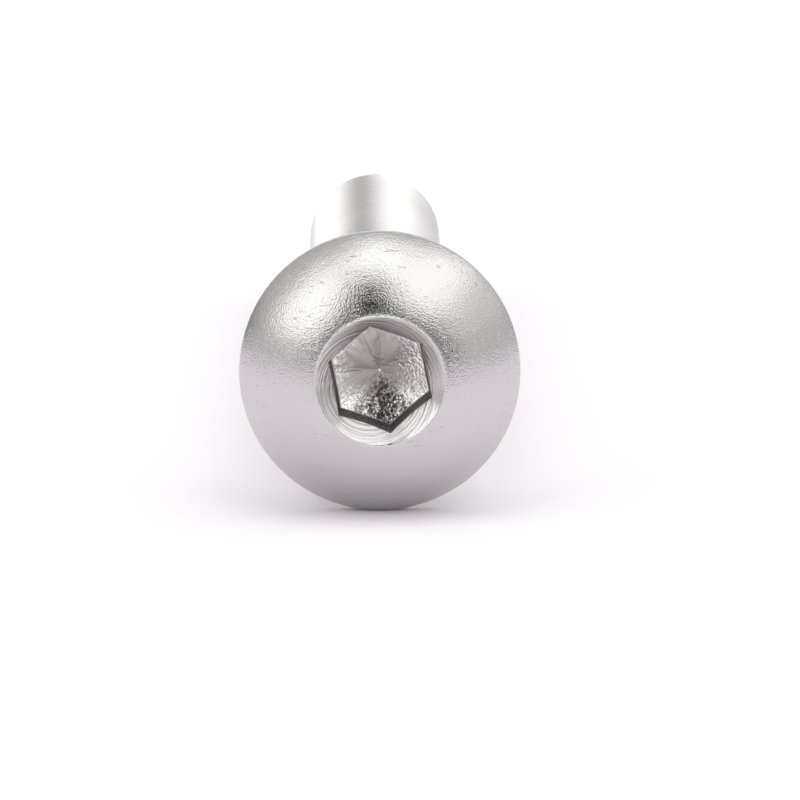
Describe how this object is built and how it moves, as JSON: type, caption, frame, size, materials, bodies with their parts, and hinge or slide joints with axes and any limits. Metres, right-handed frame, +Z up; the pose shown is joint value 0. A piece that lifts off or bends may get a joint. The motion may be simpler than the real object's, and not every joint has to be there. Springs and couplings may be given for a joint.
{
  "type": "button head screw",
  "caption": "Button head machine screw with a low domed head, a countersunk hexagon socket and a shank threaded nearly to the head, lying on its side.",
  "frame": {"origin": "middle of the footprint on the surface that the screw lies on", "axes": "+Y from the head to the point, level, so the screw's own axis dips 3.7 degrees below it; +X to the right of someone who looks at the head; +Z up"},
  "size_m": [0.0094, 0.038, 0.0095],
  "materials": {
    "stainless_steel": "tumbled satin stainless steel"
  },
  "bodies": {
    "root": {"button_head_screw": "stainless_steel"}
  },
  "joints": []
}
